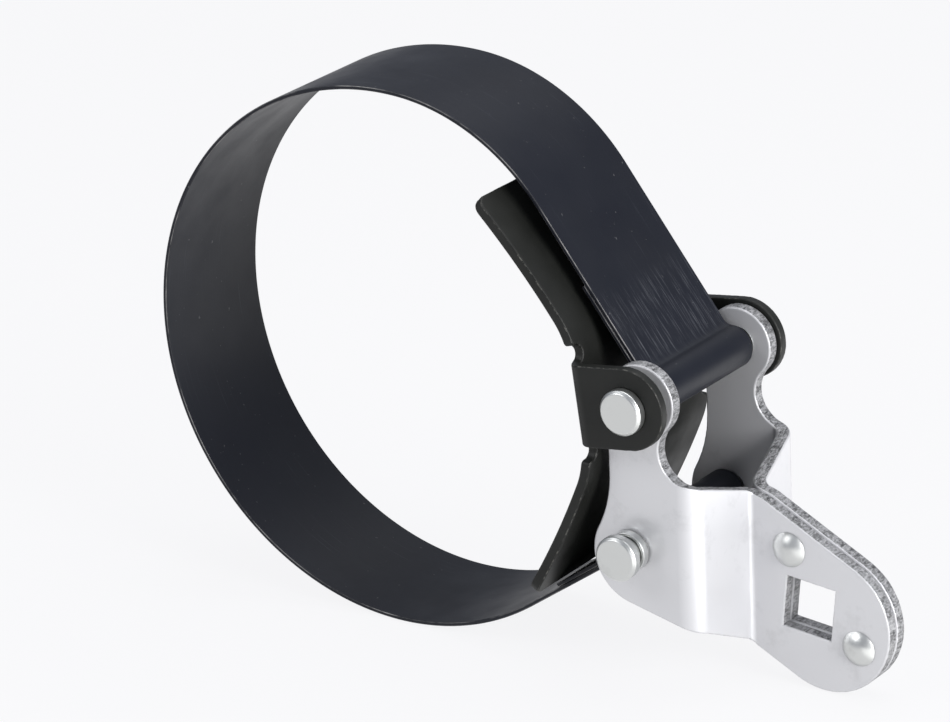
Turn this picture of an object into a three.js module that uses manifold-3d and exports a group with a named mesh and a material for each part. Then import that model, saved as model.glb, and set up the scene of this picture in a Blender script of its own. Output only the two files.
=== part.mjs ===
// Band oil filter wrench, turned by a 1/2 inch square drive.
// Millimetres, +Z up. The filter's axis and every pin run along Y, and the handle points to +X.
// The wrench stands at z = 0, on the lowest line of its band and on the tip of its handle.
//
// A steel band makes a loop round the filter. Each end of the band is rolled into an eye, and the
// two eyes sit on two pins between the two plates of the handle. A pressed saddle hangs on the
// upper pin, inside the loop, and bears on the filter when the handle is pulled round.

import * as THREE from "three";
import { mergeVertices } from "three/addons/utils/BufferGeometryUtils.js";
import Module from "manifold-3d";

const wasm = await Module();
wasm.setup();

// ---------------------------------------------------------------- driving dimensions

const LOOP_RADIUS = 67.6; // outside of the band
const BAND_WIDTH = 36.8;
const BAND_THICKNESS = 1;
const CROWN_TIGHTENING = 12.6; // taken off the loop's radius over its top, on the handle's side
const CROWN_START = 86; // degrees round the loop from +X
const TAIL_PAST_WING = 0.2; // doubled end of the band, beyond the wing that rests on it
const UPPER_EYE_INSET = 1.7; // pin's axis to the outer face of the strap that it ends
const LOWER_EYE_INSET = 1;

const PIN_RADIUS = 4;
const PIN_PLAY = 0.2; // on the radius, in eyes, plates and washers
const PIN_SETBACK = 6.1; // upper pin's axis outside the loop's radius
const PIN_BEARING = 3.5; // degrees round the loop from +X
const PIN_SPACING = 37.2;
const PIN_LEAN = 4.9; // degrees that the line between the pins leans off the vertical
const PIN_HEAD_OVERHANG = 1.5; // head's radius beyond the pin's
const PIN_HEAD_HEIGHT = 2.6;
const PIN_HEAD_CHAMFER = 0.7;

const PLATE_THICKNESS = 3.4;
const PLATE_SIDE_PLAY = 1.3; // between the band's edge and a plate
const PLATE_GAP = 0.3; // between the two plates where they meet
const BEND_ANGLE = 80; // degrees that the plates turn in and back out
const FIRST_BEND_RADIUS = 3.7; // at the middle of the sheet
const SECOND_BEND_RADIUS = 2.9;

const LUG_WALL = 4.8; // plate round the upper pin's hole
const LUG_TO_BEND = 0.1; // edge of that lug to the start of the first bend
const THROAT_RADIUS = 8.1; // hollow between the lug and the top edge
const THROAT_BEARING = -42; // degrees from the lug's centre
const TOP_EDGE_SLOPE = -18.1;
const HEEL_RADIUS = 12.3; // round corner below the lower pin
const HEEL_SHIFT_X = 1.6; // heel's centre from the lower pin's axis
const HEEL_SHIFT_Z = -1.9;
const WAIST_RADIUS = 30; // shallow hollow of the edge on the filter's side

const TIP_RADIUS = 17;
const TIP_REACH = 36.7; // tip's centre from the upper pin's axis, along X
const TIP_DROP = 55.1; // and below it
const UPPER_KNEE_PAST_BEND = 2.5; // where the top edge turns, beyond the second bend
const LOWER_KNEE_DROP = 9.5; // where the lower edge turns at the second bend, below the tip's centre
const BELLY_DROP = 17.2; // lower edge at the first bend, below the lower pin's axis

const DRIVE_SQUARE = 12.7; // nominal 1/2 inch drive
const DRIVE_PLAY = 0.15;
const DRIVE_SHIFT_X = -4.4; // square's centre from the tip's centre
const DRIVE_SHIFT_Z = 3;
const DRIVE_TURN = -6.3; // degrees

const RIVET_SHANK_RADIUS = 2.4;
const RIVET_HEAD_OVERHANG = 1.9; // head's radius beyond the shank's
const RIVET_HEAD_HEIGHT = 1.9;
const RIVET_PLAY = 0.15;
const RIVET_SEAT_GAP = 0.1;
const TIP_RIVET_EDGE = 7.2; // lower rivet's axis to the tip's edge
const TIP_RIVET_BEARING = -26.4; // degrees from the tip's centre
const NECK_RIVET_SHIFT_X = -9.5; // upper rivet's axis from the tip's centre
const NECK_RIVET_SHIFT_Z = 16.75;

const SADDLE_THICKNESS = 2.5;
const SADDLE_WING_OVERHANG = 1; // wing's edge beyond the inner face of an ear
const SADDLE_SETBACK = 15.1; // upper pin's axis to the face that bears on the filter
const SADDLE_SHOULDER_RADIUS = 20;
const SADDLE_SHOULDER_TURN = 29.5; // degrees
const SADDLE_WING_LENGTH = 33;
const SADDLE_TILT = 7; // degrees on its pin, with the lower wing at rest
const SADDLE_CORNER_RADIUS = 3;
const SADDLE_RUNNING_GAP = 0.3; // left at the rear plate once the saddle has slid to the front
const SADDLE_REST_GAP = 0.3; // lower wing above the band's doubled end

const EAR_WALL = 5.7; // ear round the upper pin's hole
const EAR_SIDE_GAP = 1.9; // between a handle plate and an ear, with the saddle in the middle
const EAR_BEND_RADIUS = 1.5; // inside
const NOTCH_WIDTH = 3.8; // relief beside each ear
const NOTCH_DEPTH = 3.2; // in from the wing's edge

const HEAD_SEAT_GAP = 0.2; // under the upper pin's head, on the side that the saddle has slid to
const WASHER_WALL = 0.7; // ring of metal round the pin's hole
const WASHER_THICKNESS = 2.1;
const WASHER_SIDE_GAP = 0.6; // between a washer and its handle plate
const WASHER_HEAD_GAP = 2.4; // between a washer and the lower pin's head

const ROUND_SIDES = 48; // sides of pins, holes and rivets
const ARC_STEP = 3; // degrees, on the loop and other long arcs
const EDGE_STEP = 6; // degrees, on the edges of plates and ears
const CORNER_STEP = 15; // degrees, on small corners and bends
const BEND_STEPS = 6;
const WING_TURN_LIMITS = [0.1, 90]; // degrees, for the search for the wings' turn
const HALVINGS = 40;

// ---------------------------------------------------------------- plane geometry

const radians = THREE.MathUtils.degToRad;
const degrees = THREE.MathUtils.radToDeg;
const point = (x, z) => new THREE.Vector2(x, z);

// The point at a distance and bearing, in degrees, from another point.
function polar(from, distance, bearing) {
  const a = radians(bearing);
  return point(from.x + distance * Math.cos(a), from.y + distance * Math.sin(a));
}

// The bearing of one point from another, in degrees.
function bearingOf(from, to) {
  return degrees(Math.atan2(to.y - from.y, to.x - from.x));
}

// Evenly spaced values, with both ends.
function spread(from, to, count) {
  return Array.from({ length: count + 1 }, (_, i) => from + ((to - from) * i) / count);
}

// Points of an arc, from one bearing to another. The sign of the difference sets its direction.
function arc(centre, radius, from, to, step = ARC_STEP) {
  const count = Math.max(2, Math.ceil(Math.abs(to - from) / step));
  return spread(from, to, count).map((bearing) => polar(centre, radius, bearing));
}

// Bearing of the point where a line from "from" touches a circle. side is 1 or -1.
// inset keeps the line that far outside the starting point, on the circle's side.
function tangentBearing(from, centre, radius, side, inset = 0) {
  const away = bearingOf(centre, from);
  const open = degrees(Math.acos((radius - inset) / centre.distanceTo(from)));
  return away + side * open;
}

// ---------------------------------------------------------------- solids

const toSolid = (geometry) => {
  const bare = geometry.clone();
  bare.deleteAttribute("normal");
  bare.deleteAttribute("uv");
  const merged = mergeVertices(bare, 1e-4);
  return new wasm.Manifold(
    new wasm.Mesh({
      numProp: 3,
      vertProperties: merged.attributes.position.array,
      triVerts: new Uint32Array(merged.index.array),
    }),
  );
};

const toGeometry = (solid) => {
  const mesh = solid.getMesh();
  const geometry = new THREE.BufferGeometry();
  geometry.setAttribute("position", new THREE.BufferAttribute(mesh.vertProperties, 3));
  geometry.setIndex(new THREE.BufferAttribute(mesh.triVerts, 1));
  geometry.computeVertexNormals();
  return geometry;
};

// An outline in X and Z, given thickness between two places along Y.
function slab(outline, nearY, farY, holes = []) {
  const shape = new THREE.Shape(outline);
  shape.holes = holes.map((hole) => new THREE.Path(hole));
  const geometry = new THREE.ExtrudeGeometry(shape, { depth: farY - nearY, bevelEnabled: false });
  return geometry.rotateX(Math.PI / 2).translate(0, farY, 0);
}

// A turned piece about the Y axis through a centre, from its radius and place along Y.
function turned(centre, profile) {
  const geometry = new THREE.LatheGeometry(profile.map(([r, y]) => point(r, y)), ROUND_SIDES);
  return geometry.translate(centre.x, 0, centre.y);
}

const bore = (centre, radius, reach) =>
  toSolid(turned(centre, [[0, -reach], [radius, -reach], [radius, reach], [0, reach]]));

const circle = (centre, radius) => arc(centre, radius, 0, 360, 360 / ROUND_SIDES).slice(1);

// ---------------------------------------------------------------- places, from the loop's centre

const LOOP_CENTRE = point(0, 0);
const PIVOT = point(0, 0); // upper pin's axis, in the saddle's own frame
const UPPER_PIN = polar(LOOP_CENTRE, LOOP_RADIUS + PIN_SETBACK, PIN_BEARING);
const LOWER_PIN = polar(UPPER_PIN, PIN_SPACING, -90 - PIN_LEAN);
const TIP = point(UPPER_PIN.x + TIP_REACH, UPPER_PIN.y - TIP_DROP);
const FLOOR = Math.min(-LOOP_RADIUS, TIP.y - TIP_RADIUS);
const DRIVE = point(TIP.x + DRIVE_SHIFT_X, TIP.y + DRIVE_SHIFT_Z);
const TIP_RIVET = polar(TIP, TIP_RADIUS - TIP_RIVET_EDGE, TIP_RIVET_BEARING);
const NECK_RIVET = point(TIP.x + NECK_RIVET_SHIFT_X, TIP.y + NECK_RIVET_SHIFT_Z);

const PIN_HOLE_RADIUS = PIN_RADIUS + PIN_PLAY;
const PIN_HEAD_RADIUS = PIN_RADIUS + PIN_HEAD_OVERHANG;
const WASHER_RADIUS = PIN_HOLE_RADIUS + WASHER_WALL;
const LUG_RADIUS = PIN_HOLE_RADIUS + LUG_WALL;
const EAR_RADIUS = PIN_HOLE_RADIUS + EAR_WALL;
const RIVET_HEAD_RADIUS = RIVET_SHANK_RADIUS + RIVET_HEAD_OVERHANG;
const PLATE_INNER_Y = BAND_WIDTH / 2 + PLATE_SIDE_PLAY;
const PLATE_OUTER_Y = PLATE_INNER_Y + PLATE_THICKNESS;
const JOINED_OUTER_Y = PLATE_GAP / 2 + PLATE_THICKNESS;
const EAR_INNER_Y = PLATE_OUTER_Y + EAR_SIDE_GAP;
const EAR_OUTER_Y = EAR_INNER_Y + SADDLE_THICKNESS;
const SADDLE_HALF_WIDTH = EAR_INNER_Y + SADDLE_WING_OVERHANG;
const SADDLE_FLOAT = EAR_SIDE_GAP - SADDLE_RUNNING_GAP;
const UPPER_PIN_END = EAR_OUTER_Y + SADDLE_FLOAT + HEAD_SEAT_GAP + PIN_HEAD_HEIGHT;
const WASHER_INNER_Y = PLATE_OUTER_Y + WASHER_SIDE_GAP;
const WASHER_OUTER_Y = WASHER_INNER_Y + WASHER_THICKNESS;
const LOWER_PIN_END = WASHER_OUTER_Y + WASHER_HEAD_GAP + PIN_HEAD_HEIGHT;
const TOOL_REACH = 8 * LOOP_RADIUS; // cutting shapes run past every piece

// ---------------------------------------------------------------- band

const CROWN_RADIUS = LOOP_RADIUS - CROWN_TIGHTENING;
const CROWN_CENTRE = polar(LOOP_CENTRE, CROWN_TIGHTENING, CROWN_START);
const UPPER_STRAP = tangentBearing(UPPER_PIN, CROWN_CENTRE, CROWN_RADIUS, 1, UPPER_EYE_INSET);
const LOWER_STRAP = tangentBearing(LOWER_PIN, LOOP_CENTRE, LOOP_RADIUS, -1, LOWER_EYE_INSET);

// The band's path at a depth below its outer face, from beside one pin to beside the other.
function bandPath(depth) {
  return [
    polar(UPPER_PIN, UPPER_EYE_INSET - depth, UPPER_STRAP),
    ...arc(CROWN_CENTRE, CROWN_RADIUS - depth, UPPER_STRAP, CROWN_START),
    ...arc(LOOP_CENTRE, LOOP_RADIUS - depth, CROWN_START, LOWER_STRAP + 360).slice(1),
    polar(LOWER_PIN, LOWER_EYE_INSET - depth, LOWER_STRAP),
  ];
}

// The doubled end of the band, along the inner face of a strap. along is the strap's own direction.
function bandTail(pin, inset, strap, along) {
  const inner = polar(pin, inset - 2 * BAND_THICKNESS, strap);
  const outer = polar(pin, inset - BAND_THICKNESS / 2, strap);
  const length = tailLength();
  return [inner, outer, polar(outer, length, along), polar(inner, length, along)];
}

function makeBand() {
  const near = -BAND_WIDTH / 2;
  const far = BAND_WIDTH / 2;
  const strip = [...bandPath(0), ...bandPath(BAND_THICKNESS).reverse()];
  const tails = [
    bandTail(UPPER_PIN, UPPER_EYE_INSET, UPPER_STRAP, UPPER_STRAP + 90),
    bandTail(LOWER_PIN, LOWER_EYE_INSET, LOWER_STRAP, LOWER_STRAP - 90),
  ];
  let band = toSolid(slab(strip, near, far));
  for (const tail of tails) {
    band = band.add(toSolid(slab(tail, near, far)));
  }
  for (const pin of [UPPER_PIN, LOWER_PIN]) {
    band = band.add(toSolid(slab(circle(pin, PIN_HOLE_RADIUS + BAND_THICKNESS), near, far)));
    band = band.subtract(bore(pin, PIN_HOLE_RADIUS, BAND_WIDTH));
  }
  return toGeometry(band);
}

// ---------------------------------------------------------------- handle plates

const BEND_START = UPPER_PIN.x + LUG_RADIUS + LUG_TO_BEND;
const BEND_TURN = radians(BEND_ANGLE);
const JOGGLE = PLATE_INNER_Y - PLATE_GAP / 2;
const WEB_LENGTH =
  (JOGGLE - (FIRST_BEND_RADIUS + SECOND_BEND_RADIUS) * (1 - Math.cos(BEND_TURN))) / Math.sin(BEND_TURN);
const FIRST_BEND_END = BEND_START + FIRST_BEND_RADIUS * BEND_TURN;
const SECOND_BEND_START = FIRST_BEND_END + WEB_LENGTH;
const SECOND_BEND_END = SECOND_BEND_START + SECOND_BEND_RADIUS * BEND_TURN;
const BEND_REACH =
  (FIRST_BEND_RADIUS + SECOND_BEND_RADIUS) * Math.sin(BEND_TURN) + WEB_LENGTH * Math.cos(BEND_TURN);
// How much longer the flat blank is than the folded plate.
const BLANK_EXCESS = SECOND_BEND_END - BEND_START - BEND_REACH;

// A place on the joined end of the plate, moved to where it lies on the flat blank.
const onBlank = (place) => point(place.x + BLANK_EXCESS, place.y);

// Outline of the flat blank: along the plate, and Z.
function blankOutline() {
  const throat = polar(UPPER_PIN, LUG_RADIUS + THROAT_RADIUS, THROAT_BEARING);
  const throatEnd = polar(throat, THROAT_RADIUS, TOP_EDGE_SLOPE - 90);
  const kneeX = SECOND_BEND_END + UPPER_KNEE_PAST_BEND;
  const upperKnee = point(kneeX, throatEnd.y + (kneeX - throatEnd.x) * Math.tan(radians(TOP_EDGE_SLOPE)));
  const lowerKnee = point(SECOND_BEND_END, TIP.y - LOWER_KNEE_DROP);
  const belly = point(BEND_START, LOWER_PIN.y - BELLY_DROP);
  const tip = onBlank(TIP);
  const heel = point(LOWER_PIN.x + HEEL_SHIFT_X, LOWER_PIN.y + HEEL_SHIFT_Z);
  const edgeX = UPPER_PIN.x - LUG_RADIUS;
  const waistReach = WAIST_RADIUS + HEEL_RADIUS;
  const waistX = edgeX - WAIST_RADIUS;
  const waist = point(waistX, heel.y + Math.sqrt(waistReach ** 2 - (heel.x - waistX) ** 2));
  const waistEnd = bearingOf(waist, heel);
  return [
    ...arc(UPPER_PIN, LUG_RADIUS, 180, THROAT_BEARING, EDGE_STEP),
    ...arc(throat, THROAT_RADIUS, THROAT_BEARING + 180, TOP_EDGE_SLOPE + 270, EDGE_STEP).slice(1),
    upperKnee,
    ...arc(
      tip,
      TIP_RADIUS,
      tangentBearing(upperKnee, tip, TIP_RADIUS, -1),
      tangentBearing(lowerKnee, tip, TIP_RADIUS, 1),
      EDGE_STEP,
    ),
    lowerKnee,
    belly,
    ...arc(
      heel,
      HEEL_RADIUS,
      tangentBearing(belly, heel, HEEL_RADIUS, -1),
      waistEnd - 180,
      EDGE_STEP,
    ),
    ...arc(waist, WAIST_RADIUS, waistEnd, 0).slice(1),
  ];
}

// The square hole, on the blank.
function driveHole() {
  const half = (DRIVE_SQUARE + DRIVE_PLAY) / 2;
  return [45, 135, 225, 315].map((corner) => polar(onBlank(DRIVE), half * Math.SQRT2, corner + DRIVE_TURN));
}

// Where a point of the blank goes when the plate is folded. depth is measured from the inner face.
function folded(along, depth) {
  const offset = depth - PLATE_THICKNESS / 2;
  const y = PLATE_INNER_Y + PLATE_THICKNESS / 2;
  if (along <= BEND_START) return [along, y + offset];
  const first = Math.min(along - BEND_START, FIRST_BEND_END - BEND_START) / FIRST_BEND_RADIUS;
  let x = BEND_START + FIRST_BEND_RADIUS * Math.sin(first);
  let drop = FIRST_BEND_RADIUS * (1 - Math.cos(first));
  const web = THREE.MathUtils.clamp(along - FIRST_BEND_END, 0, WEB_LENGTH);
  x += web * Math.cos(BEND_TURN);
  drop += web * Math.sin(BEND_TURN);
  const second = THREE.MathUtils.clamp((along - SECOND_BEND_START) / SECOND_BEND_RADIUS, 0, BEND_TURN);
  x += SECOND_BEND_RADIUS * (Math.sin(BEND_TURN) - Math.sin(BEND_TURN - second));
  drop += SECOND_BEND_RADIUS * (Math.cos(BEND_TURN - second) - Math.cos(BEND_TURN));
  x += Math.max(0, along - SECOND_BEND_END);
  const lean = first - second;
  return [x + offset * Math.sin(lean), y - drop + offset * Math.cos(lean)];
}

// A solid strip of the blank, folded. side is 1 for the rear plate and -1 for its mirror image.
function foldStrip(strip, side) {
  const mesh = strip.getMesh();
  const places = new Float32Array(mesh.vertProperties);
  for (let i = 0; i < places.length; i += 3) {
    const [x, y] = folded(places[i], places[i + 1]);
    places[i] = x;
    places[i + 1] = side * y;
  }
  const corners = new Uint32Array(mesh.triVerts);
  if (side < 0) corners.reverse();
  return new wasm.Manifold(new wasm.Mesh({ numProp: 3, vertProperties: places, triVerts: corners }));
}

function makeHandlePlate(side) {
  const holes = [
    circle(UPPER_PIN, PIN_HOLE_RADIUS),
    circle(LOWER_PIN, PIN_HOLE_RADIUS),
    circle(onBlank(NECK_RIVET), RIVET_SHANK_RADIUS + RIVET_PLAY),
    circle(onBlank(TIP_RIVET), RIVET_SHANK_RADIUS + RIVET_PLAY),
    driveHole(),
  ];
  // The face at depth 0 is the inner one; slab() runs along Y, which is the depth here.
  const blank = toSolid(slab(blankOutline(), 0, PLATE_THICKNESS, holes));
  const cuts = [
    0,
    ...spread(BEND_START, FIRST_BEND_END, BEND_STEPS),
    ...spread(SECOND_BEND_START, SECOND_BEND_END, BEND_STEPS),
    onBlank(TIP).x + 2 * TIP_RADIUS,
  ];
  let plate = null;
  for (let i = 1; i < cuts.length; i++) {
    const length = cuts[i] - cuts[i - 1];
    const window = new THREE.BoxGeometry(length, TOOL_REACH, TOOL_REACH);
    window.translate((cuts[i] + cuts[i - 1]) / 2, 0, 0);
    const strip = foldStrip(blank.intersect(toSolid(window)), side);
    plate = plate ? plate.add(strip) : strip;
  }
  return toGeometry(plate);
}

// ---------------------------------------------------------------- pins, washers and rivets

function makePin(centre, endY) {
  const seatY = endY - PIN_HEAD_HEIGHT;
  const half = [
    [PIN_RADIUS, seatY],
    [PIN_HEAD_RADIUS, seatY],
    [PIN_HEAD_RADIUS, endY - PIN_HEAD_CHAMFER],
    [PIN_HEAD_RADIUS - PIN_HEAD_CHAMFER, endY],
    [0, endY],
  ];
  const mirrored = half.map(([r, y]) => [r, -y]).reverse();
  return turned(centre, [...mirrored, ...half]);
}

// side is -1 for the front washer and 1 for the rear one.
function makeWasher(side) {
  const ends = [side * WASHER_INNER_Y, side * WASHER_OUTER_Y].sort((a, b) => a - b);
  const profile = [
    [PIN_HOLE_RADIUS, ends[0]],
    [WASHER_RADIUS, ends[0]],
    [WASHER_RADIUS, ends[1]],
    [PIN_HOLE_RADIUS, ends[1]],
    [PIN_HOLE_RADIUS, ends[0]],
  ];
  return turned(LOWER_PIN, profile);
}

function makeRivet(centre) {
  const seatY = JOINED_OUTER_Y + RIVET_SEAT_GAP;
  const domeRadius = (RIVET_HEAD_RADIUS ** 2 + RIVET_HEAD_HEIGHT ** 2) / (2 * RIVET_HEAD_HEIGHT);
  const domeCentre = point(0, seatY + RIVET_HEAD_HEIGHT - domeRadius);
  const edge = bearingOf(domeCentre, point(RIVET_HEAD_RADIUS, seatY));
  const dome = arc(domeCentre, domeRadius, edge, 90, EDGE_STEP).map(({ x, y }) => [Math.max(0, x), y]);
  dome[dome.length - 1][0] = 0;
  const half = [[RIVET_SHANK_RADIUS, seatY], ...dome];
  const mirrored = half.map(([r, y]) => [r, -y]).reverse();
  return turned(centre, [...mirrored, ...half]);
}

// ---------------------------------------------------------------- saddle, about the upper pin's axis

// Face of the saddle at a depth behind the face that bears on the filter, from its flat middle up.
// wingTurn is how many degrees the wing turns on from the shoulder.
function saddleFace(depth, wingTurn) {
  const shoulder = point(-SADDLE_SETBACK - SADDLE_SHOULDER_RADIUS, EAR_RADIUS);
  const shoulderArc = arc(shoulder, SADDLE_SHOULDER_RADIUS + depth, 0, SADDLE_SHOULDER_TURN, EDGE_STEP);
  const wingRadius = SADDLE_WING_LENGTH / radians(wingTurn);
  const wing = polar(shoulder, SADDLE_SHOULDER_RADIUS - wingRadius, SADDLE_SHOULDER_TURN);
  const wingEnd = SADDLE_SHOULDER_TURN + wingTurn;
  return [...shoulderArc, ...arc(wing, wingRadius + depth, SADDLE_SHOULDER_TURN, wingEnd).slice(1)];
}

const flipped = (points) => points.map(({ x, y }) => point(x, -y));

// End of the lower wing, from the lower pin's axis, with the saddle tilted on its pin.
function wingEndPlace(wingTurn) {
  const end = flipped(saddleFace(SADDLE_THICKNESS, wingTurn)).pop();
  return end.rotateAround(PIVOT, radians(SADDLE_TILT)).add(UPPER_PIN).sub(LOWER_PIN);
}

// Degrees that each wing turns, so that the lower one just clears the band's doubled end.
function restingWingTurn() {
  const room = 2 * BAND_THICKNESS - LOWER_EYE_INSET + SADDLE_REST_GAP;
  const outwards = polar(PIVOT, 1, LOWER_STRAP);
  let [least, most] = WING_TURN_LIMITS;
  for (let i = 0; i < HALVINGS; i++) {
    const middle = (least + most) / 2;
    const tooClose = wingEndPlace(middle).dot(outwards) > -room;
    [least, most] = tooClose ? [middle, most] : [least, middle];
  }
  return most;
}

// Length of each doubled end of the band, from its pin's axis: the lower wing rests near its tip.
function tailLength() {
  return wingEndPlace(restingWingTurn()).dot(polar(PIVOT, 1, LOWER_STRAP - 90)) + TAIL_PAST_WING;
}

// The saddle's outline seen along X: Y across, Z up. Each ear leaves it between two notches.
function saddlePlan(top) {
  const web = EAR_INNER_Y - EAR_BEND_RADIUS;
  const notch = NOTCH_WIDTH / 2;
  const notchCentre = point(SADDLE_HALF_WIDTH - NOTCH_DEPTH + notch, EAR_RADIUS + notch);
  const corner = point(SADDLE_HALF_WIDTH - SADDLE_CORNER_RADIUS, top - SADDLE_CORNER_RADIUS);
  const quarter = [
    point(web, EAR_RADIUS),
    ...arc(notchCentre, notch, -90, -270, CORNER_STEP),
    point(SADDLE_HALF_WIDTH, EAR_RADIUS + NOTCH_WIDTH),
    ...arc(corner, SADDLE_CORNER_RADIUS, 0, 90, CORNER_STEP),
  ];
  const right = [...flipped(quarter).reverse(), ...quarter];
  return [...right, ...right.map(({ x, y }) => point(-x, y)).reverse()];
}

function makeSaddle() {
  const wingTurn = restingWingTurn();
  const back = saddleFace(SADDLE_THICKNESS, wingTurn);
  const front = saddleFace(0, wingTurn);
  const section = [...flipped(back).reverse(), ...back, ...front.toReversed(), ...flipped(front)];
  const top = back[back.length - 1].y;
  const plan = new THREE.ExtrudeGeometry(new THREE.Shape(saddlePlan(top)), {
    depth: TOOL_REACH,
    bevelEnabled: false,
  });
  plan.rotateX(Math.PI / 2).rotateZ(Math.PI / 2).translate(-TOOL_REACH / 2, 0, 0);
  let saddle = toSolid(slab(section, -EAR_OUTER_Y, EAR_OUTER_Y)).intersect(toSolid(plan));

  const webOuter = -SADDLE_SETBACK + SADDLE_THICKNESS;
  const bendCentre = point(webOuter + EAR_BEND_RADIUS, EAR_INNER_Y - EAR_BEND_RADIUS);
  const bend = new THREE.Shape([
    ...arc(bendCentre, EAR_BEND_RADIUS + SADDLE_THICKNESS, 180, 90, CORNER_STEP),
    ...arc(bendCentre, EAR_BEND_RADIUS, 90, 180, CORNER_STEP),
  ]);
  const ear = [
    point(bendCentre.x, -EAR_RADIUS),
    ...arc(PIVOT, EAR_RADIUS, -90, 90, EDGE_STEP),
    point(bendCentre.x, EAR_RADIUS),
  ];
  for (const side of [-1, 1]) {
    const corner = new THREE.ExtrudeGeometry(bend, { depth: 2 * EAR_RADIUS, bevelEnabled: false });
    corner.translate(0, 0, -EAR_RADIUS);
    if (side < 0) corner.rotateX(Math.PI);
    const faces = [side * EAR_INNER_Y, side * EAR_OUTER_Y].sort((a, b) => a - b);
    saddle = saddle.add(toSolid(corner)).add(toSolid(slab(ear, faces[0], faces[1])));
  }
  return toGeometry(saddle.subtract(bore(PIVOT, PIN_HOLE_RADIUS, 2 * EAR_OUTER_Y)));
}

// ---------------------------------------------------------------- finishes and assembly

const bluedSteel = new THREE.MeshStandardMaterial({ color: 0x2d323e, roughness: 0.38, metalness: 0.8 });
const blackOxide = new THREE.MeshStandardMaterial({ color: 0x2a2c29, roughness: 0.5, metalness: 0.6 });
const zincPlate = new THREE.MeshStandardMaterial({ color: 0xcdcdd0, roughness: 0.3, metalness: 0.9 });
const zincPin = new THREE.MeshStandardMaterial({ color: 0xcfd2cf, roughness: 0.34, metalness: 0.9 });

const wrench = new THREE.Group();

function addPiece(name, geometry, material) {
  const mesh = new THREE.Mesh(geometry, material);
  mesh.name = name;
  wrench.add(mesh);
  return mesh;
}

addPiece("band", makeBand(), bluedSteel);
addPiece("front_handle_plate", makeHandlePlate(-1), zincPlate);
addPiece("rear_handle_plate", makeHandlePlate(1), zincPlate);
addPiece("upper_drive_rivet", makeRivet(NECK_RIVET), zincPin);
addPiece("lower_drive_rivet", makeRivet(TIP_RIVET), zincPin);
addPiece("upper_pin", makePin(UPPER_PIN, UPPER_PIN_END), zincPin);
addPiece("lower_pin", makePin(LOWER_PIN, LOWER_PIN_END), zincPin);
addPiece("front_spacer_washer", makeWasher(-1), zincPin);
addPiece("rear_spacer_washer", makeWasher(1), zincPin);

const saddle = addPiece("saddle", makeSaddle(), blackOxide);
saddle.position.set(UPPER_PIN.x, -SADDLE_FLOAT, UPPER_PIN.y);
saddle.rotation.y = -radians(SADDLE_TILT);

// The origin is at the middle of the wrench's length and width, on the surface that it stands on.
wrench.position.set((LOOP_RADIUS - TIP.x - TIP_RADIUS) / 2, 0, -FLOOR);

export default wrench;
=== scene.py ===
# %% [markdown]
# # A band oil filter wrench
#
# This lesson gives the wrench its looks. The mechanical model is already there: it says where every
# pin, plate and hole is, and what turns on what. Here each piece is made again with the soft edges,
# smooth bends and worn finishes of the real tool, in exactly the same places, and then hung on the
# body that it moves with.

# %% Load the frame
import math

import bmesh
import bpy
from mathutils import Matrix, Vector, noise


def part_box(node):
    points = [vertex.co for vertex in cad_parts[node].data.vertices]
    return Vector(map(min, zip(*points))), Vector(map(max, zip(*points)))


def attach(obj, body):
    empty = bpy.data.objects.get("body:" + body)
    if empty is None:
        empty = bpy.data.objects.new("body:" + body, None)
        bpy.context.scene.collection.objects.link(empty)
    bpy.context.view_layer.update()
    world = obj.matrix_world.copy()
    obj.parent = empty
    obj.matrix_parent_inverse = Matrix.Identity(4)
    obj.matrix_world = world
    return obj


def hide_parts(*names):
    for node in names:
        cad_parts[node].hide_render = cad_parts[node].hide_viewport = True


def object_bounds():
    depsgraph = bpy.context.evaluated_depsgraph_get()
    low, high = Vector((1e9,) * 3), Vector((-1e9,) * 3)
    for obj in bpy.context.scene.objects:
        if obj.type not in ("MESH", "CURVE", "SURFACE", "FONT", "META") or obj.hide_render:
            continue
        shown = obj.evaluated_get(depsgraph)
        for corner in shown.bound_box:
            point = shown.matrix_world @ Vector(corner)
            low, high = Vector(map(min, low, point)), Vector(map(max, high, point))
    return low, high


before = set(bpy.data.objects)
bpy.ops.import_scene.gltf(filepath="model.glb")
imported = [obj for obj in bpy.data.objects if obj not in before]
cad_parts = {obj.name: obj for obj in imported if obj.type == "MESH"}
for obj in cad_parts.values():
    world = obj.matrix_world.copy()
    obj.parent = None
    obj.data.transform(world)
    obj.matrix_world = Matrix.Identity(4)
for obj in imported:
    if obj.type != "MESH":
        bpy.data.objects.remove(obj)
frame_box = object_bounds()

MM = 0.001
print("size, mm:", [round((high - low) / MM, 1) for low, high in zip(*frame_box)])

# %% [markdown]
# ## Reading places from the frame
#
# Two pins carry everything, so their axes are the places that the rest is measured from. The pins run
# along Y, and the work happens in the plane of X and Z. Lengths are kept in millimetres while a piece
# is drawn, because that is how a toolmaker thinks, and turned into metres when its mesh is made.

# %% Places of the pins, the loop and the rivets
def centre_of(node):
    """Middle of a node in the plane of X and Z, in millimetres."""
    low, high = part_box(node)
    return Vector(((low.x + high.x) / 2, (low.z + high.z) / 2)) / MM


def reach_of(node):
    """How far a node reaches along Y, in millimetres."""
    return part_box(node)[1].y / MM


UPPER_PIN = centre_of("upper_pin")
LOWER_PIN = centre_of("lower_pin")
LOOP_RADIUS = 67.6
band_low, band_high = (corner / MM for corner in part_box("band"))
LOOP_CENTRE = Vector((band_low.x + LOOP_RADIUS, band_low.z + LOOP_RADIUS))
print("upper pin", UPPER_PIN[:], "lower pin", LOWER_PIN[:], "loop", LOOP_CENTRE[:])

# %% Plane geometry
ARC_STEP = 3.0  # degrees


def polar(start, distance, bearing):
    """The point at a distance and bearing, in degrees, from another point."""
    angle = math.radians(bearing)
    return start + distance * Vector((math.cos(angle), math.sin(angle)))


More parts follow.
